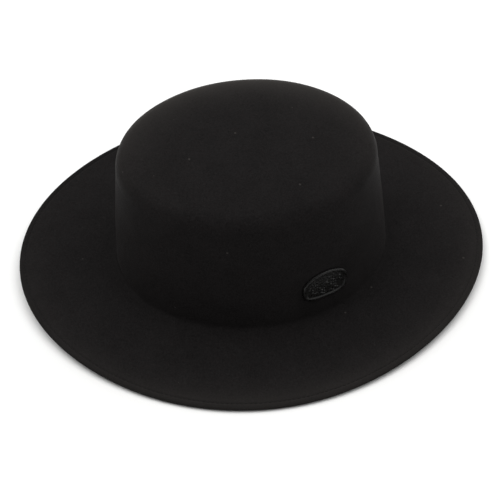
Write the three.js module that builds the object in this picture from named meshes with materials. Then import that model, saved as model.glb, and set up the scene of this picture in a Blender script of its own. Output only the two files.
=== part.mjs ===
// A flat-crowned hat of wool felt: crown and brim are one blocked piece of felt, and an oval badge sits on
// the crown's left side. Millimetres, +Z up. The hat lies brim down on z = 0, with the middle of its outline
// over the origin. Its front faces -Y and the wearer's left is +X.
import * as THREE from "three";

// Head opening, inside the felt at the crown's foot
const HEAD_LENGTH = 200.6;
const HEAD_WIDTH = 166.8;

// Felt
const FELT = 1.7;

// Crown: height from the brim's root to the rim of the tip, and how its side runs
const CROWN_HEIGHT = 102.3;
const CROWN_TAPER = 7.3;
const CROWN_BOW = 0.5;
const FOOT_RADIUS = 3;

// Tip: the nearly flat top, which is domed a little more steeply towards its rounded rim
const TIP_RADIUS = 12.5;
const TIP_DOME = 4;
const TIP_DOME_POWER = 3;

// Brim: widths from the crown's foot to the edge, and the root's height over what the hat lies on
const BRIM_FRONT_BACK = 74.5;
const BRIM_SIDES = 66.2;
const BRIM_SLIM = 2.6;
const ROOT_HEIGHT = 10.7;
const FALL_POWER = 2.3;

// The edge's wave: raised at front and back, a little twisted, and pressed flat where it bears
const LIFT_FRONT = 6.4;
const LIFT_BACK = 4.2;
const BRIM_TWIST = 0.8;
const BEARING_PRESS = 0.3;

// Hem: the felt of the brim's edge is turned under, with a narrow gap between its two layers
const HEM_WIDTH = 8;
const HEM_GAP = 0.3;

// Badge: an oval that is domed over its widest line and squarer below it, with a raised border
const BADGE_LENGTH = 36.4;
const BADGE_TOP = 13;
const BADGE_BOTTOM = 11.4;
const BADGE_TOP_POWER = 2;
const BADGE_BOTTOM_POWER = 4;
const BADGE_THICKNESS = 1.8;
const BADGE_BORDER = 1.9;

// The badge's place on the crown's side
const BADGE_TURN = 28.6;
const BADGE_RISE = 29.2;
const BADGE_TILT = -4.4;
const BADGE_GAP = 0.3;

// The border from the field out to the back: inset as a share of the border's width, height as a share of
// the badge's thickness
const BADGE_SECTIONS = [
  { inset: 1.3, height: 0.55 },
  { inset: 1.0, height: 0.95 },
  { inset: 0.7, height: 1.0 },
  { inset: 0.25, height: 0.92 },
  { inset: 0.0, height: 0.6 },
  { inset: 0.0, height: 0.0 },
];

// Fineness of the meshes
const TURNS = 64;
const TIP_RINGS = 6;
const TIP_ARC_STEPS = 5;
const SIDE_STEPS = 6;
const FOOT_STEPS = 4;
const BRIM_STEPS = 7;
const LIP_STEPS = 4;
const BADGE_TURNS = 48;
const BADGE_FIELD_RINGS = 4;

// Sizes that follow from the ones above
const QUARTER = Math.PI / 2;
const FOOT_LENGTH = HEAD_LENGTH / 2 + FELT;
const FOOT_WIDTH = HEAD_WIDTH / 2 + FELT;
const TIP_LENGTH = FOOT_LENGTH - CROWN_TAPER;
const TIP_WIDTH = FOOT_WIDTH - CROWN_TAPER;
const RIM_HEIGHT = ROOT_HEIGHT + CROWN_HEIGHT;
const TIP_REACH = (TIP_LENGTH + TIP_WIDTH) / 2 - TIP_RADIUS;
const TIP_LEAN = Math.atan((TIP_DOME * TIP_DOME_POWER) / TIP_REACH);
const SIDE_TOP = RIM_HEIGHT - TIP_RADIUS * Math.cos(TIP_LEAN);
const SIDE_FOOT = ROOT_HEIGHT + FOOT_RADIUS;
const LIP = 2 * FELT + HEM_GAP;

const { lerp, degToRad } = THREE.MathUtils;

// A station is one point of the felt's cross-section at one turn: half a length along the hat, half a width
// across it, and a height. Turn 0 is the wearer's left, and a quarter turn on is the back.
function station(along, across, up) {
  return { along, across, up };
}

function pointAt({ along, across, up }, turn) {
  return new THREE.Vector3(across * Math.cos(turn), along * Math.sin(turn), up);
}

// How far the crown's side has grown outwards from the tip at a given height
function sideGrowth(up) {
  const share = (SIDE_TOP - up) / (SIDE_TOP - SIDE_FOOT);
  return CROWN_TAPER * share + 4 * CROWN_BOW * share * (1 - share);
}

function sideStation(up, out) {
  const grown = sideGrowth(up) + out;
  return station(TIP_LENGTH + grown, TIP_WIDTH + grown, up);
}

// Height of the hem's underside: a wave with the front and the back raised, and flat stretches that bear
function edgeHeight(turn) {
  const s = Math.sin(turn);
  const lift = s * s * lerp(LIFT_FRONT, LIFT_BACK, (1 + s) / 2);
  const wave = lift + BRIM_TWIST * Math.sin(2 * turn);
  return Math.max(wave - BEARING_PRESS, 0);
}

// A station of the brim, a given distance inside its edge
function edgeStation(turn, inside, up) {
  const slim = BRIM_SLIM * Math.sin(2 * turn) ** 2 + inside;
  return station(FOOT_LENGTH + BRIM_FRONT_BACK - slim, FOOT_WIDTH + BRIM_SIDES - slim, up);
}

// Share of the brim's fall reached at a share of its width: level at the root and at the hem
function fall(share) {
  return 1 - (1 - share) ** FALL_POWER * (1 + FALL_POWER * share);
}

// Upper face of the felt, from the middle of the tip to the hem's inner line
function upperStations(turn) {
  const stations = [];
  const rim = TIP_RADIUS * (1 - Math.sin(TIP_LEAN));
  for (let i = 0; i < TIP_RINGS; i += 1) {
    const share = i / TIP_RINGS;
    const dome = TIP_DOME * (1 - share ** TIP_DOME_POWER);
    stations.push(station(share * (TIP_LENGTH - rim), share * (TIP_WIDTH - rim), RIM_HEIGHT + dome));
  }
  for (let i = 0; i <= TIP_ARC_STEPS; i += 1) {
    const angle = lerp(TIP_LEAN, QUARTER, i / TIP_ARC_STEPS);
    const inset = TIP_RADIUS * (1 - Math.sin(angle));
    stations.push(station(TIP_LENGTH - inset, TIP_WIDTH - inset, SIDE_TOP + TIP_RADIUS * Math.cos(angle)));
  }
  for (let i = 1; i <= SIDE_STEPS; i += 1) {
    stations.push(sideStation(lerp(SIDE_TOP, SIDE_FOOT, i / SIDE_STEPS), 0));
  }
  for (let i = 1; i <= FOOT_STEPS; i += 1) {
    const angle = QUARTER * (i / FOOT_STEPS);
    const out = FOOT_RADIUS * (1 - Math.cos(angle));
    stations.push(station(FOOT_LENGTH + out, FOOT_WIDTH + out, SIDE_FOOT - FOOT_RADIUS * Math.sin(angle)));
  }
  const root = stations.at(-1);
  const hem = edgeStation(turn, HEM_WIDTH, edgeHeight(turn) + LIP);
  for (let i = 1; i <= BRIM_STEPS; i += 1) {
    const share = i / BRIM_STEPS;
    const along = lerp(root.along, hem.along, share);
    const across = lerp(root.across, hem.across, share);
    stations.push(station(along, across, lerp(root.up, hem.up, fall(share))));
  }
  return stations;
}

// The hem: round the lip, along the turned-under layer and back out in the gap above it
function hemStations(turn) {
  const low = edgeHeight(turn);
  const stations = [];
  for (let i = 0; i <= LIP_STEPS; i += 1) {
    const angle = QUARTER - 2 * QUARTER * (i / LIP_STEPS);
    const inside = (LIP / 2) * (1 - Math.cos(angle));
    stations.push(edgeStation(turn, inside, low + (LIP / 2) * (1 + Math.sin(angle))));
  }
  stations.push(edgeStation(turn, HEM_WIDTH, low));
  stations.push(edgeStation(turn, HEM_WIDTH, low + FELT));
  stations.push(edgeStation(turn, LIP / 2, low + FELT));
  stations.push(edgeStation(turn, LIP / 2, low + FELT + HEM_GAP));
  return stations;
}

// The same face one felt thickness further in, measured square to the cross-section
function lowerStations(upper) {
  return upper.map((here, i) => {
    const before = upper[Math.max(i - 1, 0)];
    const after = upper[Math.min(i + 1, upper.length - 1)];
    const run = (after.along + after.across - before.along - before.across) / 2;
    const rise = after.up - before.up;
    const isMiddle = i === 0;
    const isHem = i === upper.length - 1;
    const length = Math.hypot(run, rise);
    const inward = isMiddle || isHem ? 0 : (FELT * rise) / length;
    const down = isMiddle || isHem ? FELT : (FELT * run) / length;
    return station(here.along + inward, here.across + inward, here.up - down);
  });
}

// A closed body from rings of points: the first and the last ring shrink to one point each
function closedBody(sections, turns, place) {
  const positions = [];
  const faces = [];
  const last = sections(0).length - 1;
  const vertex = (ring, k) => {
    if (ring === 0) return 0;
    if (ring === last) return 1;
    return 2 + (ring - 1) * turns + (k % turns);
  };
  const columns = [];
  for (let k = 0; k < turns; k += 1) {
    const turn = (2 * Math.PI * k) / turns;
    columns.push(sections(turn).map((section) => place(section, turn)));
  }
  positions.push(...columns[0][0].toArray(), ...columns[0][last].toArray());
  for (let ring = 1; ring < last; ring += 1) {
    for (let k = 0; k < turns; k += 1) positions.push(...columns[k][ring].toArray());
  }
  for (let ring = 0; ring < last; ring += 1) {
    for (let k = 0; k < turns; k += 1) {
      const a = vertex(ring, k);
      const b = vertex(ring + 1, k);
      const c = vertex(ring + 1, k + 1);
      const d = vertex(ring, k + 1);
      if (b !== c) faces.push(a, b, c);
      if (a !== d) faces.push(a, c, d);
    }
  }
  const geometry = new THREE.BufferGeometry();
  geometry.setAttribute("position", new THREE.Float32BufferAttribute(positions, 3));
  geometry.setIndex(faces);
  geometry.computeVertexNormals();
  return geometry;
}

function feltGeometry() {
  const sections = (turn) => {
    const upper = upperStations(turn);
    return [...upper, ...hemStations(turn), ...lowerStations(upper).reverse()];
  };
  return closedBody(sections, TURNS, pointAt);
}

// A point of the badge: a distance along the crown's side from the badge's middle, a height over its middle,
// and a distance out from the felt
function onCrownSide(along, rise, out) {
  const up = ROOT_HEIGHT + BADGE_RISE + rise;
  const felt = sideStation(up, 0);
  const middle = degToRad(BADGE_TURN);
  const lengthPerTurn = (turn) => Math.hypot(felt.across * Math.sin(turn), felt.along * Math.cos(turn));
  const guess = middle + along / lengthPerTurn(middle);
  const turn = middle + along / lengthPerTurn((middle + guess) / 2);
  return pointAt(sideStation(up, out), turn);
}

// A point of the badge's flat outline, at one turn and a distance inside the edge
function badgeOutline(turn, inset) {
  const isAbove = Math.sin(turn) >= 0;
  const power = 2 / (isAbove ? BADGE_TOP_POWER : BADGE_BOTTOM_POWER);
  const bend = (value) => Math.sign(value) * Math.abs(value) ** power;
  const along = (BADGE_LENGTH / 2 - inset) * bend(Math.cos(turn));
  const rise = ((isAbove ? BADGE_TOP : BADGE_BOTTOM) - inset) * bend(Math.sin(turn));
  return { along, rise };
}

function badgeGeometry() {
  const rim = BADGE_SECTIONS.map(({ inset, height }) => {
    return { reach: 1, inset: inset * BADGE_BORDER, height: height * BADGE_THICKNESS };
  });
  const field = [];
  const back = [];
  for (let i = 0; i < BADGE_FIELD_RINGS; i += 1) {
    const reach = i / BADGE_FIELD_RINGS;
    field.push({ ...rim[0], reach });
    back.unshift({ ...rim.at(-1), reach });
  }
  const tilt = degToRad(BADGE_TILT);
  const place = ({ reach, inset, height }, turn) => {
    const { along, rise } = badgeOutline(turn, inset);
    const tiltedAlong = reach * (along * Math.cos(tilt) - rise * Math.sin(tilt));
    const tiltedRise = reach * (along * Math.sin(tilt) + rise * Math.cos(tilt));
    return onCrownSide(tiltedAlong, tiltedRise, BADGE_GAP + height);
  };
  return closedBody(() => [...field, ...rim, ...back], BADGE_TURNS, place);
}

const felt = new THREE.MeshStandardMaterial({ color: "#171617", roughness: 0.95, metalness: 0 });
const badgeLeather = new THREE.MeshStandardMaterial({ color: "#191819", roughness: 0.42, metalness: 0 });

const feltBody = new THREE.Mesh(feltGeometry(), felt);
feltBody.name = "felt_body";

const badge = new THREE.Mesh(badgeGeometry(), badgeLeather);
badge.name = "badge";

const hat = new THREE.Group();
hat.add(feltBody, badge);

export default hat;
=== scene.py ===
"""A flat-crowned hat of black wool felt, with a small embossed leather badge on its crown.

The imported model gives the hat's size and place. This script makes the fine felt body with its turned-under
hem, the topstitching that holds the hem, the leather badge with its relief, and the light and camera.
"""

import logging
import math
from dataclasses import dataclass
from enum import Enum

import bpy
import numpy as np
from mathutils import Matrix, Vector

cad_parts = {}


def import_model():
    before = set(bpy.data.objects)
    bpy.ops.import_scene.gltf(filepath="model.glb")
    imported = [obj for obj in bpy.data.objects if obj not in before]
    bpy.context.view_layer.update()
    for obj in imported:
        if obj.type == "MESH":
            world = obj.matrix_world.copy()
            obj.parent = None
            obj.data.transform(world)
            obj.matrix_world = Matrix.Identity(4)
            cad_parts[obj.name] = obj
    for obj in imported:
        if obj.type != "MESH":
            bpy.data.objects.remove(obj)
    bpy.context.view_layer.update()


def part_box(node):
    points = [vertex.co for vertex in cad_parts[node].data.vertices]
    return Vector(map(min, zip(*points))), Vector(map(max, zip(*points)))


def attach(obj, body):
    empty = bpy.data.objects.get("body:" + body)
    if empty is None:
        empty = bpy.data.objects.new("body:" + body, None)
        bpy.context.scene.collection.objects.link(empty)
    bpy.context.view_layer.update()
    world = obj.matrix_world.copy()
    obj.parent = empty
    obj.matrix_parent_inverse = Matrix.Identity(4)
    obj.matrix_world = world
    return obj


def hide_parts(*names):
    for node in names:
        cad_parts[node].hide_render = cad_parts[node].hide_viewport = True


LOG = logging.getLogger("hat")
MM = 0.001
QUARTER = math.pi / 2
FULL_TURN = 2 * math.pi
BODY = "root"

# The felt's vertex attribute that says how much painted highlight goes on: a paler grey painted along the
# edges that look bright in the light.
PAINTED_GLOW = "glow_level"

# Sockets that share their name with others on the same node are called by number.
MIX_FROM, MIX_TO, MIX_RESULT = 6, 7, 2
RANDOM_VECTOR_LEAST, RANDOM_VECTOR_MOST = 0, 1
RANDOM_LEAST, RANDOM_MOST, RANDOM_VALUE = 2, 3, 1
RANDOM_CHOICE = 3


class Side(Enum):
    """The side of the brim that a row of stitches shows on."""

    TOP = 1.0
    UNDER = -1.0


def linear(colour: str) -> tuple[float, float, float, float]:
    """Turns a colour into the linear values that shaders take.

    Args:
        colour: an sRGB colour written as #rrggbb.

    Returns:
        Red, green, blue and an alpha of 1.
    """
    values = [int(colour[i:i + 2], 16) / 255 for i in (1, 3, 5)]
    return (*[v / 12.92 if v <= 0.04045 else ((v + 0.055) / 1.055) ** 2.4 for v in values], 1.0)


def add_node(tree: bpy.types.NodeTree, kind: str, inputs: dict[str | int, object] | None = None,
             **settings: object) -> bpy.types.Node:
    """Adds a node with its settings, values and links.

    Args:
        tree: the material's or the geometry's node tree.
        kind: the node's type name.
        inputs: for a socket's name or number, its value or the output socket that feeds it.
        **settings: the node's own properties.

    Returns:
        The new node.
    """
    node = tree.nodes.new(kind)
    for name, value in settings.items():
        setattr(node, name, value)
    for name, value in (inputs or {}).items():
        socket = node.inputs[name]
        if isinstance(value, bpy.types.NodeSocket):
            tree.links.new(value, socket)
        else:
            socket.default_value = value
    return node


def new_piece(name: str, mesh: bpy.types.Mesh) -> bpy.types.Object:
    """Puts a mesh in the scene as an object at the origin.

    Args:
        name: the piece's name.
        mesh: its mesh, in metres, in place.

    Returns:
        The new object.
    """
    piece = bpy.data.objects.new(name, mesh)
    bpy.context.scene.collection.objects.link(piece)
    return piece


def smooth_mesh(name: str, points: np.ndarray, faces: list[tuple[int, ...]]) -> bpy.types.Mesh:
    """Makes a smooth-shaded mesh.

    Args:
        name: the mesh's name.
        points: its vertices, one row each, in metres.
        faces: the vertex numbers round each face.

    Returns:
        The mesh.
    """
    mesh = bpy.data.meshes.new(name)
    mesh.from_pydata(points.tolist(), [], faces)
    mesh.polygons.foreach_set("use_smooth", [True] * len(mesh.polygons))
    mesh.validate()
    return mesh


def closed_body(name: str, rings: np.ndarray) -> bpy.types.Mesh:
    """Joins rings of points into one closed body.

    Args:
        name: the mesh's name.
        rings: an array of rings by turns by 3. The first and the last ring shrink to one point each.

    Returns:
        The mesh, facing out where the rings run from the middle of the upper face round to the lower one.
    """
    count, turns, _ = rings.shape
    points = np.concatenate([rings[0, :1], rings[-1, :1], rings[1:-1].reshape(-1, 3)])

    def vertex(ring: int, turn: int) -> int:
        """The number of the vertex at a ring and a turn."""
        if ring == 0:
            return 0
        if ring == count - 1:
            return 1
        return 2 + (ring - 1) * turns + turn % turns

    faces = []
    for ring in range(count - 1):
        for turn in range(turns):
            after = turn + 1
            corners = vertex(ring, turn), vertex(ring + 1, turn), vertex(ring + 1, after), vertex(ring, after)
            faces.append(tuple(dict.fromkeys(corners)))
    return smooth_mesh(name, points, faces)


def grown(carrier: bpy.types.Object, tree: bpy.types.NodeTree, values: dict[str, object]) -> bpy.types.Mesh:
    """Runs a Geometry Nodes tree on an object and keeps the result as a plain mesh.

    Args:
        carrier: the object whose mesh the tree starts from. It is removed.
        tree: the Geometry Nodes tree.
        values: the value of each of the tree's named inputs.

    Returns:
        The mesh that the tree makes.
    """
    modifier = carrier.modifiers.new(tree.name, "NODES")
    modifier.node_group = tree
    for item in tree.interface.items_tree:
        if item.item_type == "SOCKET" and item.in_out == "INPUT" and item.name in values:
            modifier[item.identifier] = values[item.name]
    graph = bpy.context.evaluated_depsgraph_get()
    mesh = bpy.data.meshes.new_from_object(carrier.evaluated_get(graph), depsgraph=graph)
    carrier.modifiers.remove(modifier)
    start = carrier.data
    bpy.data.objects.remove(carrier)
    bpy.data.meshes.remove(start)
    return mesh


def new_tree(name: str, inputs: dict[str, str]) -> tuple[bpy.types.NodeTree, bpy.types.Node]:
    """Starts a Geometry Nodes tree with named inputs and one geometry output.

    Args:
        name: the tree's name.
        inputs: for each input's name, its socket type.

    Returns:
        The tree and its Group Input node.
    """
    tree = bpy.data.node_groups.new(name, "GeometryNodeTree")
    tree.interface.new_socket("Geometry", in_out="INPUT", socket_type="NodeSocketGeometry")
    for label, kind in inputs.items():
        tree.interface.new_socket(label, in_out="INPUT", socket_type=kind)
    tree.interface.new_socket("Geometry", in_out="OUTPUT", socket_type="NodeSocketGeometry")
    return tree, add_node(tree, "NodeGroupInput")


def new_material(name: str) -> tuple[bpy.types.Material, bpy.types.NodeTree, bpy.types.Node]:
    """Starts a node material.

    Args:
        name: the material's name.

    Returns:
        The material, its emptied node tree and its output node.
    """
    material = bpy.data.materials.new(name)
    material.use_nodes = True
    material.node_tree.nodes.clear()
    return material, material.node_tree, add_node(material.node_tree, "ShaderNodeOutputMaterial")


@dataclass(frozen=True)
class WoolFelt:
    """Blocked wool felt, dyed black: matted fibres with a short brushed nap.

    To the eye it is a deep soft black with next to no gloss, with a fine uneven grain and a pale fibre here
    and there. Along the brim's edge and the tip's rim on the wearer's right a warm grey is painted in as a
    painted highlight, where the light makes these edges look bright.
    """

    deep: str = "#171616"
    raised: str = "#282626"
    # The warm grey of the painted highlight along the edges.
    glow_paint: str = "#4a4744"
    pale_fibre: str = "#3d3a38"
    nap_grain: float = 1.0 * MM
    fibre_length: float = 3.2 * MM
    mottle: float = 24 * MM
    nap_share: float = 0.6
    mottle_share: float = 0.25
    dye_low: float = 0.65
    dye_high: float = 1.2
    fleck_spacing: float = 11 * MM
    fleck_radius: float = 0.8 * MM
    fleck_share: float = 0.12
    roughness: float = 0.5
    specular: float = 0.012
    sheen: float = 0.012
    sheen_roughness: float = 0.3
    sheen_tint: str = "#f2ecea"
    nap_height: float = 0.25 * MM
    nap_strength: float = 0.6

    def build(self) -> bpy.types.Material:
        """Makes the material. The real nap is about 0.1 mm and is drawn coarser, so that its grain shows."""
        material, tree, output = new_material("black_wool_felt")
        place = add_node(tree, "ShaderNodeTexCoord").outputs["Object"]
        nap = add_node(tree, "ShaderNodeTexNoise", {
            "Vector": place, "Scale": 1 / self.nap_grain, "Detail": 3.0, "Roughness": 0.65,
            "Distortion": 0.6})
        fibres = add_node(tree, "ShaderNodeTexNoise", {
            "Vector": place, "Scale": 1 / self.fibre_length, "Detail": 4.0, "Roughness": 0.7,
            "Distortion": 2.5})
        mottle = add_node(tree, "ShaderNodeTexNoise", {
            "Vector": place, "Scale": 1 / self.mottle, "Detail": 2.0, "Roughness": 0.5})
        height = add_node(tree, "ShaderNodeMath", {
            0: nap.outputs[0], 1: self.nap_share, 2: fibres.outputs[0]}, operation="MULTIPLY_ADD")
        share = add_node(tree, "ShaderNodeMath", {
            0: mottle.outputs[0], 1: self.mottle_share, 2: height.outputs[0]}, operation="MULTIPLY_ADD")
        spread = add_node(tree, "ShaderNodeMapRange", {
            "Value": share.outputs[0], "From Min": self.dye_low, "From Max": self.dye_high})
        dye = add_node(tree, "ShaderNodeMix", {
            "Factor": spread.outputs[0],
            MIX_FROM: linear(self.deep),
            MIX_TO: linear(self.raised),
        }, data_type="RGBA")
        # Painted highlight: the vertex attribute mixes a warm grey in along the edges that look bright in the
        # light.
        glow_level = add_node(tree, "ShaderNodeAttribute", attribute_name=PAINTED_GLOW)
        paler_tone = add_node(tree, "ShaderNodeMix", {
            "Factor": glow_level.outputs["Fac"],
            MIX_FROM: dye.outputs[MIX_RESULT],
            MIX_TO: linear(self.glow_paint),
        }, data_type="RGBA")
        cells = add_node(tree, "ShaderNodeTexVoronoi", {"Vector": place, "Scale": 1 / self.fleck_spacing})
        near = add_node(tree, "ShaderNodeMath", {
            0: cells.outputs["Distance"], 1: self.fleck_radius / self.fleck_spacing}, operation="LESS_THAN")
        chosen = add_node(tree, "ShaderNodeSeparateColor", {"Color": cells.outputs["Color"]})
        few = add_node(tree, "ShaderNodeMath", {
            0: chosen.outputs[0], 1: self.fleck_share}, operation="LESS_THAN")
        fleck = add_node(tree, "ShaderNodeMath", {
            0: near.outputs[0], 1: few.outputs[0]}, operation="MULTIPLY")
        colour = add_node(tree, "ShaderNodeMix", {
            "Factor": fleck.outputs[0],
            MIX_FROM: paler_tone.outputs[MIX_RESULT],
            MIX_TO: linear(self.pale_fibre),
        }, data_type="RGBA")
        bump = add_node(tree, "ShaderNodeBump", {
            "Strength": self.nap_strength, "Distance": self.nap_height, "Height": height.outputs[0]})
        shader = add_node(tree, "ShaderNodeBsdfPrincipled", {
            "Base Color": colour.outputs[MIX_RESULT],
            "Roughness": self.roughness,
            "Diffuse Roughness": 1.0,
            "Specular IOR Level": self.specular,
            "Sheen Weight": self.sheen,
            "Sheen Roughness": self.sheen_roughness,
            "Sheen Tint": linear(self.sheen_tint),
            "Normal": bump.outputs[0],
        })
        tree.links.new(shader.outputs[0], output.inputs["Surface"])
        return material


@dataclass(frozen=True)
class SpunThread:
    """Black spun polyester sewing thread.

    To the eye it is as dark as the felt but a little smoother, so each stitch has a small soft glint.
    """

    colour: str = "#0d0c0c"
    highlight: str = "#161515"
    ply: float = 0.5 * MM
    ply_depth: float = 0.1 * MM
    ply_strength: float = 0.4
    roughness: float = 0.6
    specular: float = 0.1

    def build(self) -> bpy.types.Material:
        """Makes the material. The twisted plies are drawn as a fine uneven play of light and dark."""
        material, tree, output = new_material("black_spun_thread")
        place = add_node(tree, "ShaderNodeTexCoord").outputs["Object"]
        twist = add_node(tree, "ShaderNodeTexNoise", {"Vector": place, "Scale": 1 / self.ply, "Detail": 1.0})
        colour = add_node(tree, "ShaderNodeMix", {
            "Factor": twist.outputs[0],
            MIX_FROM: linear(self.colour),
            MIX_TO: linear(self.highlight),
        }, data_type="RGBA")
        bump = add_node(tree, "ShaderNodeBump", {
            "Strength": self.ply_strength, "Distance": self.ply_depth, "Height": twist.outputs[0]})
        shader = add_node(tree, "ShaderNodeBsdfPrincipled", {
            "Base Color": colour.outputs[MIX_RESULT],
            "Roughness": self.roughness,
            "Specular IOR Level": self.specular,
            "Normal": bump.outputs[0],
        })
        tree.links.new(shader.outputs[0], output.inputs["Surface"])
        return material


@dataclass(frozen=True)
class EmbossedLeather:
    """Black chrome-tanned leather, pressed in a heated die.

    To the eye it is a satin black, smoother and glossier than the felt, with a fine pebbled grain. Its gloss
    varies a little from place to place, and the raised parts carry the highlights.
    """

    colour: str = "#0b0a0a"
    paler_tone: str = "#141312"
    grain: float = 0.9 * MM
    crease_share: float = 0.25
    crease_depth: float = 0.12 * MM
    crease_strength: float = 0.35
    cloud: float = 3.6 * MM
    roughness: float = 0.28
    roughness_spread: float = 0.08
    specular: float = 0.27

    def build(self) -> bpy.types.Material:
        """Makes the material. The pebbles are drawn at about twice their real width, so that they show."""
        material, tree, output = new_material("embossed_black_leather")
        place = add_node(tree, "ShaderNodeTexCoord").outputs["Object"]
        pebbles = add_node(tree, "ShaderNodeTexVoronoi", {"Vector": place, "Scale": 1 / self.grain},
                           feature="DISTANCE_TO_EDGE")
        crease = add_node(tree, "ShaderNodeMapRange", {
            "Value": pebbles.outputs["Distance"], "From Min": 0.0, "From Max": self.crease_share})
        cloud = add_node(tree, "ShaderNodeTexNoise", {
            "Vector": place, "Scale": 1 / self.cloud, "Detail": 3.0})
        gloss = add_node(tree, "ShaderNodeMapRange", {
            "Value": cloud.outputs[0],
            "To Min": self.roughness - self.roughness_spread,
            "To Max": self.roughness + self.roughness_spread,
        })
        colour = add_node(tree, "ShaderNodeMix", {
            "Factor": cloud.outputs[0],
            MIX_FROM: linear(self.colour),
            MIX_TO: linear(self.paler_tone),
        }, data_type="RGBA")
        bump = add_node(tree, "ShaderNodeBump", {
            "Strength": self.crease_strength, "Distance": self.crease_depth, "Height": crease.outputs[0]})
        shader = add_node(tree, "ShaderNodeBsdfPrincipled", {
            "Base Color": colour.outputs[MIX_RESULT],
            "Roughness": gloss.outputs[0],
            "Specular IOR Level": self.specular,
            "Normal": bump.outputs[0],
        })
        tree.links.new(shader.outputs[0], output.inputs["Surface"])
        return material


@dataclass(frozen=True)
class MattePaper:
    """White seamless backdrop paper: an even matte white that takes a soft shadow."""

    colour: str = "#f6f6f5"
    tooth: float = 1.5 * MM
    tooth_depth: float = 0.05 * MM
    tooth_strength: float = 0.1
    roughness: float = 0.9
    specular: float = 0.2

    def build(self) -> bpy.types.Material:
        """Makes the material, with the paper's faint tooth as bump."""
        material, tree, output = new_material("matte_backdrop_paper")
        place = add_node(tree, "ShaderNodeTexCoord").outputs["Object"]
        tooth = add_node(tree, "ShaderNodeTexNoise", {"Vector": place, "Scale": 1 / self.tooth})
        bump = add_node(tree, "ShaderNodeBump", {
            "Strength": self.tooth_strength, "Distance": self.tooth_depth, "Height": tooth.outputs[0]})
        shader = add_node(tree, "ShaderNodeBsdfPrincipled", {
            "Base Color": linear(self.colour),
            "Roughness": self.roughness,
            "Specular IOR Level": self.specular,
            "Normal": bump.outputs[0],
        })
        tree.links.new(shader.outputs[0], output.inputs["Surface"])
        return material


@dataclass(frozen=True)
class FeltProfile:
    """The felt's cross-section, which changes a little round the hat.

    The lengths run along the hat, from front to back, and the widths across it. A turn of 0 is the wearer's
    left and a quarter turn is the back.
    """

    half_length: float
    half_width: float
    height: float
    felt: float = 1.7 * MM
    crown_height: float = 102.3 * MM
    crown_taper: float = 7.3 * MM
    crown_bow: float = 0.5 * MM
    tip_radius: float = 12.5 * MM
    tip_dome: float = 4 * MM
    tip_dome_power: float = 3.0
    foot_radius: float = 3 * MM
    brim_front_back: float = 74.5 * MM
    brim_sides: float = 66.2 * MM
    brim_slim: float = 2.6 * MM
    fall_power: float = 2.3
    lift_front: float = 6.4 * MM
    lift_back: float = 4.2 * MM
    brim_twist: float = 0.8 * MM
    bearing_press: float = 0.3 * MM
    hem_width: float = 8 * MM
    hem_gap: float = 0.3 * MM

    @property
    def foot(self) -> tuple[float, float]:
        """Half the length and half the width of the crown's foot."""
        return self.half_length - self.brim_front_back, self.half_width - self.brim_sides

    @property
    def tip(self) -> tuple[float, float]:
        """Half the length and half the width of the crown at the top of its side."""
        return self.foot[0] - self.crown_taper, self.foot[1] - self.crown_taper

    @property
    def root_height(self) -> float:
        """Height of the brim where it leaves the crown."""
        return self.height - self.tip_dome - self.crown_height

    @property
    def rim_height(self) -> float:
        """Height of the crown's rim, round its nearly flat tip."""
        return self.height - self.tip_dome

    @property
    def tip_lean(self) -> float:
        """Slope of the domed tip where it meets the rim's curve, in radians."""
        return math.atan(self.tip_dome * self.tip_dome_power / (sum(self.tip) / 2 - self.tip_radius))

    @property
    def side_top(self) -> float:
        """Height where the crown's side meets the rim's curve."""
        return self.rim_height - self.tip_radius * math.cos(self.tip_lean)

    @property
    def side_foot(self) -> float:
        """Height where the crown's side meets the curve at its foot."""
        return self.root_height + self.foot_radius

    @property
    def lip(self) -> float:
        """Thickness of the folded edge: two layers of felt and the gap between them."""
        return 2 * self.felt + self.hem_gap

    @property
    def cut_corner(self) -> float:
        """Radius of the two rounded corners of the hem's cut edge."""
        return self.felt / 4

    def side_growth(self, up: np.ndarray) -> np.ndarray:
        """How far the crown's side has grown outwards from the tip at a height."""
        share = (self.side_top - up) / (self.side_top - self.side_foot)
        return self.crown_taper * share + 4 * self.crown_bow * share * (1 - share)

    def edge_height(self, turn: np.ndarray) -> np.ndarray:
        """Height of the hem's underside: raised at front and back, flat where it bears."""
        back = np.sin(turn)
        lift = back * back * (self.lift_front + (self.lift_back - self.lift_front) * (1 + back) / 2)
        return np.maximum(lift + self.brim_twist * np.sin(2 * turn) - self.bearing_press, 0)

    def edge(self, turn: np.ndarray, inside: float) -> tuple[np.ndarray, np.ndarray]:
        """The half length and half width of the brim, a distance inside its edge."""
        slim = self.brim_slim * np.sin(2 * turn) ** 2 + inside
        return self.half_length - slim, self.half_width - slim


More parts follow.
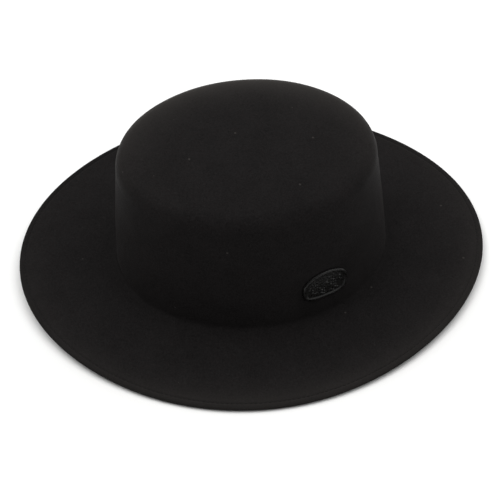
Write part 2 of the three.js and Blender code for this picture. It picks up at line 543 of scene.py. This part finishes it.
@dataclass
class FeltBody:
    """Crown, brim and turned-under hem: one piece of felt, blocked over a form."""

    profile: FeltProfile
    material: bpy.types.Material
    stitch_inset: float = 4.4 * MM
    groove_depth: float = 0.5 * MM
    groove_width: float = 1.5 * MM
    wander: float = 0.3 * MM
    wander_waves: int = 7
    wander_shortest: float = 45 * MM
    wander_longest: float = 110 * MM
    wander_peak: float = 3.0
    calm_reach: float = 0.92
    calm_fade: float = 0.2
    # How strong the painted highlight along the brim's edge and the tip's rim is, and how far in it reaches.
    brim_glow: float = 0.38
    glow_even: float = 0.5
    glow_left: float = 0.4
    glow_back: float = 0.2
    brim_glow_reach: float = 11 * MM
    tip_glow_reach: float = 15 * MM
    turns: int = 360
    tip_rings: int = 30
    rim_steps: int = 14
    side_steps: int = 34
    foot_steps: int = 8
    brim_steps: int = 26
    hem_steps: int = 14
    lip_steps: int = 10
    seed: int = 11

    def upper_face(self, turn: np.ndarray) -> np.ndarray:
        """The upper face, from the middle of the tip to the lip.

        Args:
            turn: the turns round the hat.

        Returns:
            An array of stations by turns by 3: half length, half width and height.
        """
        shape = self.profile
        tip_length, tip_width = shape.tip
        foot_length, foot_width = shape.foot
        rim = shape.tip_radius * (1 - math.sin(shape.tip_lean))
        rows = []
        for i in range(self.tip_rings):
            share = i / self.tip_rings
            up = shape.rim_height + shape.tip_dome * (1 - share ** shape.tip_dome_power)
            rows.append((share * (tip_length - rim), share * (tip_width - rim), up))
        for i in range(self.rim_steps + 1):
            angle = shape.tip_lean + (QUARTER - shape.tip_lean) * i / self.rim_steps
            inset = shape.tip_radius * (1 - math.sin(angle))
            up = shape.side_top + shape.tip_radius * math.cos(angle)
            rows.append((tip_length - inset, tip_width - inset, up))
        for i in range(1, self.side_steps + 1):
            up = shape.side_top + (shape.side_foot - shape.side_top) * i / self.side_steps
            out = shape.side_growth(up)
            rows.append((tip_length + out, tip_width + out, up))
        for i in range(1, self.foot_steps + 1):
            angle = QUARTER * i / self.foot_steps
            out = shape.foot_radius * (1 - math.cos(angle))
            up = shape.side_foot - shape.foot_radius * math.sin(angle)
            rows.append((foot_length + out, foot_width + out, up))
        stations = [np.stack([np.full_like(turn, value) for value in row], -1) for row in rows]
        root = stations[-1]
        top = shape.edge_height(turn) + shape.lip
        hem = np.stack([*shape.edge(turn, shape.hem_width), top], -1)
        for i in range(1, self.brim_steps + 1):
            share = i / self.brim_steps
            fall = 1 - (1 - share) ** shape.fall_power * (1 + shape.fall_power * share)
            flat = root + (hem - root) * share
            flat[:, 2] = root[:, 2] + (hem[:, 2] - root[:, 2]) * fall
            stations.append(flat)
        for i in range(1, self.hem_steps + 1):
            inside = shape.hem_width + (shape.lip / 2 - shape.hem_width) * i / self.hem_steps
            stations.append(np.stack([*shape.edge(turn, inside), top - self.groove(inside)], -1))
        return np.array(stations)

    def groove(self, inside: float) -> float:
        """Depth of the line that the stitches pull into the felt, at a distance inside the edge."""
        offset = (inside - self.stitch_inset) / self.groove_width
        return self.groove_depth * math.exp(-4 * offset * offset)

    def hem(self, turn: np.ndarray) -> np.ndarray:
        """The hem: round the lip, along the turned-under layer to its cut edge and back out in the gap.

        Args:
            turn: the turns round the hat.

        Returns:
            An array of stations by turns by 3, as for the upper face.
        """
        shape = self.profile
        low = shape.edge_height(turn)
        radius = shape.lip / 2
        corner = shape.cut_corner
        stations = []

        def put(inside: float, over: float) -> None:
            """Adds a station a distance inside the edge and over the hem's underside."""
            stations.append(np.stack([*shape.edge(turn, inside), low + over], -1))

        for i in range(1, self.lip_steps + 1):
            angle = QUARTER - 2 * QUARTER * i / self.lip_steps
            put(radius * (1 - math.cos(angle)), radius * (1 + math.sin(angle)))
        for i in range(1, self.hem_steps + 1):
            inside = radius + (shape.hem_width - corner - radius) * i / self.hem_steps
            put(inside, self.groove(inside))
        for angle in (QUARTER / 3, 2 * QUARTER / 3, QUARTER):
            put(shape.hem_width - corner * (1 - math.sin(angle)), corner * (1 - math.cos(angle)))
        for angle in (0, QUARTER / 3, 2 * QUARTER / 3, QUARTER):
            put(shape.hem_width - corner * (1 - math.cos(angle)), shape.felt - corner * (1 - math.sin(angle)))
        put(radius, shape.felt)
        put(radius, shape.felt + shape.hem_gap)
        return np.array(stations)

    def lower_face(self, upper: np.ndarray) -> np.ndarray:
        """The face one felt thickness further in, square to the cross-section.

        Args:
            upper: the upper face's stations out to the hem's inner line.

        Returns:
            An array of stations by turns by 3, in the same order.
        """
        before = np.concatenate([upper[:1], upper[:-1]])
        after = np.concatenate([upper[1:], upper[-1:]])
        step = after - before
        run = (step[..., 0] + step[..., 1]) / 2
        rise = step[..., 2]
        length = np.hypot(run, rise)
        inward = self.profile.felt * rise / length
        down = self.profile.felt * run / length
        inward[[0, -1]] = 0
        down[[0, -1]] = self.profile.felt
        return upper + np.stack([inward, inward, -down], -1)

    def unevenness(self, rings: np.ndarray) -> np.ndarray:
        """How far hand blocking left each point off the true form, outwards, as a few slow waves.

        Args:
            rings: points of the felt, an array of rings by turns by 3.

        Returns:
            A distance for each point, fading to none towards the brim's edge.
        """
        draws = np.random.default_rng(self.seed)
        waves = np.zeros(rings.shape[:2])
        for _ in range(self.wander_waves):
            direction = draws.normal(size=3)
            length = draws.uniform(self.wander_shortest, self.wander_longest)
            phase = draws.uniform(0, FULL_TURN)
            waves += np.sin(rings @ (direction / np.linalg.norm(direction)) * FULL_TURN / length + phase)
        reach = np.hypot(rings[..., 0] / self.profile.half_width, rings[..., 1] / self.profile.half_length)
        calm = np.clip((self.calm_reach - reach) / self.calm_fade, 0, 1)
        return self.wander * waves / self.wander_peak * calm

    def glow_level(self, points: np.ndarray) -> np.ndarray:
        """How much painted highlight goes on the felt, from 0 to 1, along the brim's edge and the edge of the
        tip.

        Args:
            points: rows of points on the felt.

        Returns:
            A share for each point. The painted highlight is stronger on the brim at the wearer's left and
            back, and on the tip at the wearer's right.
        """
        shape = self.profile
        across, along, up = points.T
        side, end = across / shape.half_width, along / shape.half_length
        from_edge = (1 - np.hypot(side, end)) * (shape.half_width + shape.half_length) / 2
        near = self.brim_glow * (self.glow_even + self.glow_left * side + self.glow_back * end)
        brim = near * np.exp(-np.maximum(from_edge, shape.hem_width) / self.brim_glow_reach)
        tip_length, tip_width = shape.tip
        from_rim = (1 - np.hypot(across / tip_width, along / tip_length)) * (tip_width + tip_length) / 2
        far = ((1 - across / tip_width) / 2) ** 2
        on_tip = np.clip((up - shape.side_top) / shape.tip_radius, 0, 1)
        tip = np.exp(-np.maximum(from_rim, 0) / self.tip_glow_reach) * far * on_tip
        return np.clip(brim + tip, 0, 1)

    def build(self) -> bpy.types.Object:
        """Makes the felt body, with its material and the attribute of its painted highlight."""
        turn = np.arange(self.turns) * FULL_TURN / self.turns
        upper = self.upper_face(turn)
        lower = self.lower_face(upper[:len(upper) - self.hem_steps])[::-1]
        stations = np.concatenate([upper, self.hem(turn), lower])
        length, width, up = np.moveaxis(stations, -1, 0)
        rings = np.stack([width * np.cos(turn), length * np.sin(turn), up], -1)
        flat = rings * [1, 1, 0]
        outwards = flat / np.maximum(np.linalg.norm(flat, axis=-1), MM)[..., None]
        rings += outwards * self.unevenness(rings)[..., None]
        mesh = closed_body("felt_hat", rings)
        points = np.zeros(3 * len(mesh.vertices))
        mesh.vertices.foreach_get("co", points)
        # Each vertex gets the share of painted highlight along the brim's edge and the tip's rim.
        glow_paint = mesh.attributes.new(PAINTED_GLOW, "FLOAT", "POINT")
        glow_paint.data.foreach_set("value", self.glow_level(points.reshape(-1, 3)))
        piece = new_piece("felt_hat", mesh)
        piece.data.materials.append(self.material)
        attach(piece, BODY)
        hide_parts("felt_body")
        return piece


@dataclass
class Topstitching:
    """A row of lockstitches round the brim, which holds the turned-under hem."""

    body: FeltBody
    material: bpy.types.Material
    pitch: float = 3.4 * MM
    stitch: float = 2.7 * MM
    thread: float = 0.42 * MM
    arch: float = 0.3 * MM
    smallest: float = 0.9
    largest: float = 1.06
    stitch_steps: int = 6
    thread_sides: int = 6
    line_points: int = 720
    seed: int = 5

    def line(self, side: Side) -> np.ndarray:
        """The stitch line on one side of the brim.

        Args:
            side: the side that the stitches show on.

        Returns:
            An array of points by 3, in metres.
        """
        shape = self.body.profile
        turn = np.arange(self.line_points) * FULL_TURN / self.line_points
        length, width = shape.edge(turn, self.body.stitch_inset)
        low = shape.edge_height(turn)
        sink = self.body.groove_depth - self.thread / 2
        up = low + shape.lip - sink if side is Side.TOP else low + sink
        return np.stack([width * np.cos(turn), length * np.sin(turn), up], -1)

    def tree(self) -> bpy.types.NodeTree:
        """Makes the tree that lays evenly spaced stitches along a closed line of points."""
        tree, start = new_tree("run_of_stitches", {
            "Stitches": "NodeSocketInt", "Stitch Length": "NodeSocketFloat",
            "Thread Radius": "NodeSocketFloat", "Arch": "NodeSocketFloat", "Out": "NodeSocketVector",
            "Seed": "NodeSocketInt", "Thread": "NodeSocketMaterial"})
        given = start.outputs
        line = add_node(tree, "GeometryNodeMeshToCurve", {"Mesh": given["Geometry"]})
        spaced = add_node(tree, "GeometryNodeCurveToPoints", {
            "Curve": line.outputs[0], "Count": given["Stitches"]}, mode="COUNT")
        along = add_node(tree, "FunctionNodeAlignRotationToVector", {
            "Vector": spaced.outputs["Tangent"]}, axis="X")
        upright = add_node(tree, "FunctionNodeAlignRotationToVector", {
            "Rotation": along.outputs[0], "Vector": given["Out"]}, axis="Z", pivot_axis="X")
        half = add_node(tree, "ShaderNodeMath", {0: given["Stitch Length"], 1: 0.5}, operation="MULTIPLY")
        back = add_node(tree, "ShaderNodeMath", {0: half.outputs[0], 1: -1.0}, operation="MULTIPLY")
        dip = add_node(tree, "ShaderNodeMath", {0: given["Thread Radius"], 1: -2.0}, operation="MULTIPLY")
        head = add_node(tree, "ShaderNodeCombineXYZ", {"X": back.outputs[0], "Z": dip.outputs[0]})
        crest = add_node(tree, "ShaderNodeCombineXYZ", {"Z": given["Arch"]})
        tail = add_node(tree, "ShaderNodeCombineXYZ", {"X": half.outputs[0], "Z": dip.outputs[0]})
        bow = add_node(tree, "GeometryNodeCurveQuadraticBezier", {
            "Resolution": self.stitch_steps,
            "Start": head.outputs[0],
            "Middle": crest.outputs[0],
            "End": tail.outputs[0],
        })
        section = add_node(tree, "GeometryNodeCurvePrimitiveCircle", {
            "Resolution": self.thread_sides, "Radius": given["Thread Radius"]}, mode="RADIUS")
        thread = add_node(tree, "GeometryNodeCurveToMesh", {
            "Curve": bow.outputs[0], "Profile Curve": section.outputs[0], "Fill Caps": True})
        soft = add_node(tree, "GeometryNodeSetShadeSmooth", {"Geometry": thread.outputs[0]})
        uneven = add_node(tree, "FunctionNodeRandomValue", {
            RANDOM_LEAST: self.smallest, RANDOM_MOST: self.largest, "Seed": given["Seed"]})
        stitches = add_node(tree, "GeometryNodeInstanceOnPoints", {
            "Points": spaced.outputs["Points"],
            "Instance": soft.outputs[0],
            "Rotation": upright.outputs[0],
            "Scale": uneven.outputs[RANDOM_VALUE],
        })
        real = add_node(tree, "GeometryNodeRealizeInstances", {"Geometry": stitches.outputs[0]})
        dressed = add_node(tree, "GeometryNodeSetMaterial", {
            "Geometry": real.outputs[0], "Material": given["Thread"]})
        add_node(tree, "NodeGroupOutput", {"Geometry": dressed.outputs[0]})
        return tree

    def build(self, side: Side) -> bpy.types.Object:
        """Sews one side of the hem.

        Args:
            side: the side that the stitches show on.

        Returns:
            The stitches as one piece.
        """
        points = self.line(side)
        run = np.linalg.norm(points - np.roll(points, 1, axis=0), axis=1).sum()
        ring = [(i, (i + 1) % len(points)) for i in range(len(points))]
        mesh = bpy.data.meshes.new("stitch_line")
        mesh.from_pydata(points.tolist(), ring, [])
        name = f"topstitch_{side.name.lower()}"
        sewn = grown(new_piece("stitch_line", mesh), self.tree(), {
            "Stitches": round(run / self.pitch),
            "Stitch Length": self.stitch,
            "Thread Radius": self.thread / 2,
            "Arch": self.arch,
            "Out": (0.0, 0.0, side.value),
            "Seed": self.seed,
            "Thread": self.material,
        })
        sewn.name = name
        piece = new_piece(name, sewn)
        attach(piece, BODY)
        return piece


@dataclass
class Badge:
    """A small oval of embossed leather on the crown's side, with a raised border round a patterned field.

    The turn round the crown and the tilt are in degrees. Each section is a point of the cross-section, from
    the field over the border to the back: its inset in widths of the border and its height in thicknesses.
    """

    profile: FeltProfile
    material: bpy.types.Material
    length: float = 36.4 * MM
    top: float = 13.0 * MM
    bottom: float = 11.4 * MM
    top_power: float = 2.0
    bottom_power: float = 4.0
    thickness: float = 1.8 * MM
    border: float = 1.9 * MM
    turn: float = 28.6
    rise: float = 29.2 * MM
    tilt: float = -4.4
    gap: float = 0.3 * MM
    turns: int = 144
    field_rings: int = 14
    lozenge_length: float = 3.2 * MM
    lozenge_height: float = 2.0 * MM
    lozenge_relief: float = 0.6 * MM
    lozenge_gap: float = 0.5 * MM
    lozenge_sink: float = 0.05 * MM
    lozenge_slant: float = 0.7
    smallest: tuple[float, float, float] = (0.5, 0.6, 0.4)
    largest: tuple[float, float, float] = (1.2, 1.15, 1.4)
    missed_share: float = 0.22
    columns: int = 9
    rows: int = 17
    seed: int = 3
    sections: tuple[tuple[float, float], ...] = (
        (1.45, 0.55), (1.3, 0.56), (1.18, 0.62), (1.08, 0.76), (0.98, 0.9), (0.85, 0.98), (0.7, 1.0),
        (0.5, 0.99), (0.3, 0.94), (0.14, 0.84), (0.04, 0.7), (0.0, 0.55), (0.0, 0.3), (0.02, 0.1),
        (0.08, 0.0))

    def on_crown(self, flat: np.ndarray) -> np.ndarray:
        """Bends flat points round the crown's side.

        Args:
            flat: rows of distance along the badge, distance up it and distance out from the felt.

        Returns:
            The points in the hat's frame.
        """
        shape = self.profile
        tilt = math.radians(self.tilt)
        along = flat[:, 0] * math.cos(tilt) - flat[:, 1] * math.sin(tilt)
        rise = flat[:, 0] * math.sin(tilt) + flat[:, 1] * math.cos(tilt)
        up = shape.root_height + self.rise + rise
        out = shape.side_growth(up)
        length, width = shape.tip[0] + out, shape.tip[1] + out
        middle = math.radians(self.turn)
        guess = middle + along / np.hypot(width * math.sin(middle), length * math.cos(middle))
        halfway = (middle + guess) / 2
        turn = middle + along / np.hypot(width * np.sin(halfway), length * np.cos(halfway))
        return np.stack([(width + flat[:, 2]) * np.cos(turn), (length + flat[:, 2]) * np.sin(turn), up], -1)

    def plaque(self) -> bpy.types.Mesh:
        """Makes the leather oval: its field, its raised border and its flat back."""
        turn = np.arange(self.turns) * FULL_TURN / self.turns
        edge = [(1.0, inset * self.border, height * self.thickness) for inset, height in self.sections]
        front = [(i / self.field_rings, *edge[0][1:]) for i in range(self.field_rings)]
        back = [(i / self.field_rings, *edge[-1][1:]) for i in reversed(range(self.field_rings))]
        rings = []
        for reach, inset, height in front + edge + back:
            along, rise = self.outline(turn, inset)
            out = np.full_like(turn, self.gap + height)
            rings.append(self.on_crown(np.stack([reach * along, reach * rise, out], -1)))
        return closed_body("badge_plaque", np.array(rings))

    def outline(self, turn: np.ndarray, inset: float) -> tuple[np.ndarray, np.ndarray]:
        """The badge's flat outline: domed over its widest line and squarer below it.

        Args:
            turn: the turns round the outline.
            inset: a distance inside the edge.

        Returns:
            Distances along the badge and up it.
        """
        above = np.sin(turn) >= 0
        power = 2 / np.where(above, self.top_power, self.bottom_power)
        reach = np.where(above, self.top, self.bottom) - inset
        along = (self.length / 2 - inset) * np.sign(np.cos(turn)) * np.abs(np.cos(turn)) ** power
        rise = reach * np.sign(np.sin(turn)) * np.abs(np.sin(turn)) ** power
        return along, rise

    def relief_tree(self) -> bpy.types.NodeTree:
        """Makes the tree that sets rows of uneven lozenges inside an oval, flat in the XY plane.

        Every second point of its grid is moved on by half a step, so the lozenges stand in close pairs. Some
        are left out.
        """
        tree, start = new_tree("rows_of_lozenges", {
            "Field Length": "NodeSocketFloat", "Field Height": "NodeSocketFloat",
            "Lozenge Length": "NodeSocketFloat", "Lozenge Height": "NodeSocketFloat",
            "Gap": "NodeSocketFloat", "Relief": "NodeSocketFloat", "Leather": "NodeSocketMaterial",
            "Seed": "NodeSocketInt"})
        given = start.outputs
        step_x = add_node(tree, "ShaderNodeMath", {
            0: given["Lozenge Length"], 1: given["Gap"]}, operation="ADD")
        tall = add_node(tree, "ShaderNodeMath", {
            0: given["Lozenge Height"], 1: given["Gap"]}, operation="ADD")
        step_y = add_node(tree, "ShaderNodeMath", {0: tall.outputs[0], 1: 0.5}, operation="MULTIPLY")
        size_x = add_node(tree, "ShaderNodeMath", {
            0: step_x.outputs[0], 1: self.columns - 1.0}, operation="MULTIPLY")
        size_y = add_node(tree, "ShaderNodeMath", {
            0: step_y.outputs[0], 1: self.rows - 1.0}, operation="MULTIPLY")
        grid = add_node(tree, "GeometryNodeMeshGrid", {
            "Size X": size_x.outputs[0],
            "Size Y": size_y.outputs[0],
            "Vertices X": self.columns,
            "Vertices Y": self.rows,
        })
        number = add_node(tree, "GeometryNodeInputIndex")
        odd = add_node(tree, "ShaderNodeMath", {0: number.outputs[0], 1: 2.0}, operation="MODULO")
        stagger = add_node(tree, "ShaderNodeMath", {0: odd.outputs[0], 1: 0.5}, operation="MULTIPLY")
        slide = add_node(tree, "ShaderNodeMath", {
            0: stagger.outputs[0], 1: step_x.outputs[0]}, operation="MULTIPLY")
        offset = add_node(tree, "ShaderNodeCombineXYZ", {"X": slide.outputs[0]})
        staggered = add_node(tree, "GeometryNodeSetPosition", {
            "Geometry": grid.outputs["Mesh"], "Offset": offset.outputs[0]})
        place = add_node(tree, "GeometryNodeInputPosition")
        room = add_node(tree, "ShaderNodeCombineXYZ", {
            "X": given["Field Length"], "Y": given["Field Height"], "Z": 1.0})
        share = add_node(tree, "ShaderNodeVectorMath", {
            0: place.outputs[0], 1: room.outputs[0]}, operation="DIVIDE")
        reach = add_node(tree, "ShaderNodeVectorMath", {0: share.outputs[0]}, operation="LENGTH")
        outside = add_node(tree, "ShaderNodeMath", {
            0: reach.outputs["Value"], 1: 0.5}, operation="GREATER_THAN")
        within = add_node(tree, "GeometryNodeDeleteGeometry", {
            "Geometry": staggered.outputs[0], "Selection": outside.outputs[0]})
        missed = add_node(tree, "FunctionNodeRandomValue", {
            "Probability": self.missed_share, "Seed": given["Seed"]}, data_type="BOOLEAN")
        kept = add_node(tree, "GeometryNodeDeleteGeometry", {
            "Geometry": within.outputs[0], "Selection": missed.outputs[RANDOM_CHOICE]})
        cone = add_node(tree, "GeometryNodeMeshCone", {
            "Vertices": 4, "Side Segments": 2, "Radius Top": 0.25, "Radius Bottom": 0.5, "Depth": 1.0})
        size = add_node(tree, "ShaderNodeCombineXYZ", {
            "X": given["Lozenge Length"], "Y": given["Lozenge Height"], "Z": given["Relief"]})
        uneven = add_node(tree, "FunctionNodeRandomValue", {
            RANDOM_VECTOR_LEAST: self.smallest,
            RANDOM_VECTOR_MOST: self.largest,
            "Seed": given["Seed"],
        }, data_type="FLOAT_VECTOR")
        scale = add_node(tree, "ShaderNodeVectorMath", {
            0: size.outputs[0], 1: uneven.outputs[0]}, operation="MULTIPLY")
        slant = add_node(tree, "FunctionNodeRandomValue", {
            RANDOM_VECTOR_LEAST: (0.0, 0.0, -self.lozenge_slant),
            RANDOM_VECTOR_MOST: (0.0, 0.0, self.lozenge_slant),
            "Seed": given["Seed"],
        }, data_type="FLOAT_VECTOR")
        turned = add_node(tree, "FunctionNodeEulerToRotation", {0: slant.outputs[0]})
        lozenges = add_node(tree, "GeometryNodeInstanceOnPoints", {
            "Points": kept.outputs[0],
            "Instance": cone.outputs["Mesh"],
            "Rotation": turned.outputs[0],
            "Scale": scale.outputs[0],
        })
        real = add_node(tree, "GeometryNodeRealizeInstances", {"Geometry": lozenges.outputs[0]})
        dressed = add_node(tree, "GeometryNodeSetMaterial", {
            "Geometry": real.outputs[0], "Material": given["Leather"]})
        add_node(tree, "NodeGroupOutput", {"Geometry": dressed.outputs[0]})
        return tree

    def relief(self) -> bpy.types.Mesh:
        """Makes the raised lozenges and bends them on to the field."""
        inset, height = self.sections[0]
        margin = inset * self.border + self.lozenge_height / 2
        anchor = bpy.data.meshes.new("relief_anchor")
        anchor.from_pydata([(0.0, 0.0, 0.0)], [], [])
        mesh = grown(new_piece("relief_anchor", anchor), self.relief_tree(), {
            "Field Length": self.length - 2 * margin,
            "Field Height": self.top + self.bottom - 2 * margin,
            "Lozenge Length": self.lozenge_length,
            "Lozenge Height": self.lozenge_height,
            "Gap": self.lozenge_gap,
            "Relief": self.lozenge_relief,
            "Leather": self.material,
            "Seed": self.seed,
        })
        flat = np.zeros(3 * len(mesh.vertices))
        mesh.vertices.foreach_get("co", flat)
        flat = flat.reshape(-1, 3)
        flat[:, 2] += self.gap + height * self.thickness - self.lozenge_sink
        mesh.vertices.foreach_set("co", self.on_crown(flat).ravel())
        mesh.name = "badge_relief"
        return mesh

    def build(self) -> list[bpy.types.Object]:
        """Makes the badge's two pieces, which both stand for the plain badge."""
        pieces = []
        for mesh in (self.plaque(), self.relief()):
            piece = new_piece(mesh.name, mesh)
            if not mesh.materials:
                mesh.materials.append(self.material)
            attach(piece, BODY)
            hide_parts("badge")
            pieces.append(piece)
        return pieces


@dataclass(frozen=True)
class SoftLight:
    """A large soft light far round the hat, brightest in its middle and fading out evenly.

    Its angles are in degrees. Its azimuth runs from the side that the camera is on, over the picture's right,
    round to behind the hat.
    """

    azimuth: float
    elevation: float
    strength: float
    spread: float = 18.0

    @property
    def towards(self) -> tuple[float, float, float]:
        """The direction from the hat to the middle of the light."""
        azimuth, elevation = math.radians(self.azimuth), math.radians(self.elevation)
        level = math.cos(elevation)
        return math.cos(azimuth) * level, math.sin(azimuth) * level, math.sin(elevation)

    @property
    def steepness(self) -> float:
        """How fast the light fades. At its spread off its middle it has three fifths of its strength."""
        return 0.5 / (1 - math.cos(math.radians(self.spread)))


@dataclass
class Studio:
    """The plain pale floor, the soft light and the camera.

    The camera's angles are in degrees and its lens in millimetres. Its azimuth runs from the hat's front over
    the wearer's left.
    """

    floor_size: float = 6.0
    floor_drop: float = 0.4 * MM
    lights: tuple[SoftLight, ...] = (
        SoftLight(azimuth=240, elevation=62, strength=3.51),
        SoftLight(azimuth=120, elevation=62, strength=2.12),
        SoftLight(azimuth=60, elevation=38, strength=1.09),
        SoftLight(azimuth=120, elevation=38, strength=0.97),
        SoftLight(azimuth=300, elevation=38, strength=0.29),
        SoftLight(azimuth=180, elevation=14, strength=1.25),
        SoftLight(azimuth=240, elevation=14, strength=0.54),
    )
    azimuth: float = 87.197
    elevation: float = 48.183
    roll: float = -3.26
    distance: float = 1200 * MM
    target: tuple[float, float, float] = (34.39 * MM, -2.75 * MM, 40 * MM)
    lens: float = 117.78

    def floor(self) -> bpy.types.Object:
        """Lays the floor just under the hat."""
        reach = self.floor_size / 2
        corners = np.array([(-reach, -reach), (reach, -reach), (reach, reach), (-reach, reach)])
        points = np.concatenate([corners, np.full((4, 1), -self.floor_drop)], axis=1)
        floor = new_piece("floor", smooth_mesh("floor", points, [(0, 1, 2, 3)]))
        floor.data.materials.append(MattePaper().build())
        return floor

    def light(self) -> None:
        """Sets the soft lights far round the hat, as the sum of their glow on the world."""
        world = bpy.data.worlds.new("studio")
        world.use_nodes = True
        tree = world.node_tree
        direction = add_node(tree, "ShaderNodeTexCoord").outputs["Generated"]
        glow = 0.0
        for light in self.lights:
            near = add_node(tree, "ShaderNodeVectorMath", {
                0: direction, 1: light.towards}, operation="DOT_PRODUCT")
            glow_level = add_node(tree, "ShaderNodeMath", {
                0: near.outputs["Value"],
                1: light.steepness,
                2: -light.steepness,
            }, operation="MULTIPLY_ADD")
            bright = add_node(tree, "ShaderNodeMath", {0: glow_level.outputs[0]}, operation="EXPONENT")
            glow = add_node(tree, "ShaderNodeMath", {
                0: bright.outputs[0], 1: light.strength, 2: glow}, operation="MULTIPLY_ADD").outputs[0]
        background = tree.nodes["Background"].inputs
        tree.links.new(glow, background["Strength"])
        background["Color"].default_value = (1.0, 1.0, 1.0, 1.0)
        bpy.context.scene.world = world

    def camera(self) -> bpy.types.Object:
        """Sets the camera at the picture's angle, rolled a little."""
        azimuth, elevation = math.radians(self.azimuth), math.radians(self.elevation)
        away = Vector((math.sin(azimuth) * math.cos(elevation), -math.cos(azimuth) * math.cos(elevation),
                       math.sin(elevation)))
        lens = bpy.data.cameras.new("camera")
        lens.lens = self.lens
        camera = bpy.data.objects.new("camera", lens)
        aim = (-away).to_track_quat("-Z", "Y").to_matrix().to_4x4()
        roll = Matrix.Rotation(math.radians(self.roll), 4, "Z")
        camera.matrix_world = Matrix.Translation(Vector(self.target) + away * self.distance) @ aim @ roll
        bpy.context.scene.collection.objects.link(camera)
        bpy.context.scene.camera = camera
        return camera

    def build(self) -> None:
        """Sets up the floor, the light, the camera and how brightness is shown."""
        self.floor()
        self.light()
        self.camera()
        bpy.context.scene.view_settings.view_transform = "Standard"


def report(piece: bpy.types.Object) -> None:
    """Logs a piece's name and its count of faces."""
    LOG.info("%s: %d faces", piece.name, len(piece.data.polygons))


def main() -> None:
    """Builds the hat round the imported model, piece by piece, and sets up the studio."""
    logging.basicConfig(level=logging.INFO, format="%(name)s: %(message)s")
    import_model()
    low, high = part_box("felt_body")
    profile = FeltProfile((high.y - low.y) / 2, (high.x - low.x) / 2, high.z - low.z)
    body = FeltBody(profile, WoolFelt().build())
    report(body.build())
    stitching = Topstitching(body, SpunThread().build())
    for side in Side:
        report(stitching.build(side))
    for piece in Badge(profile, EmbossedLeather().build()).build():
        report(piece)
    Studio().build()


if __name__ == "__main__":
    main()
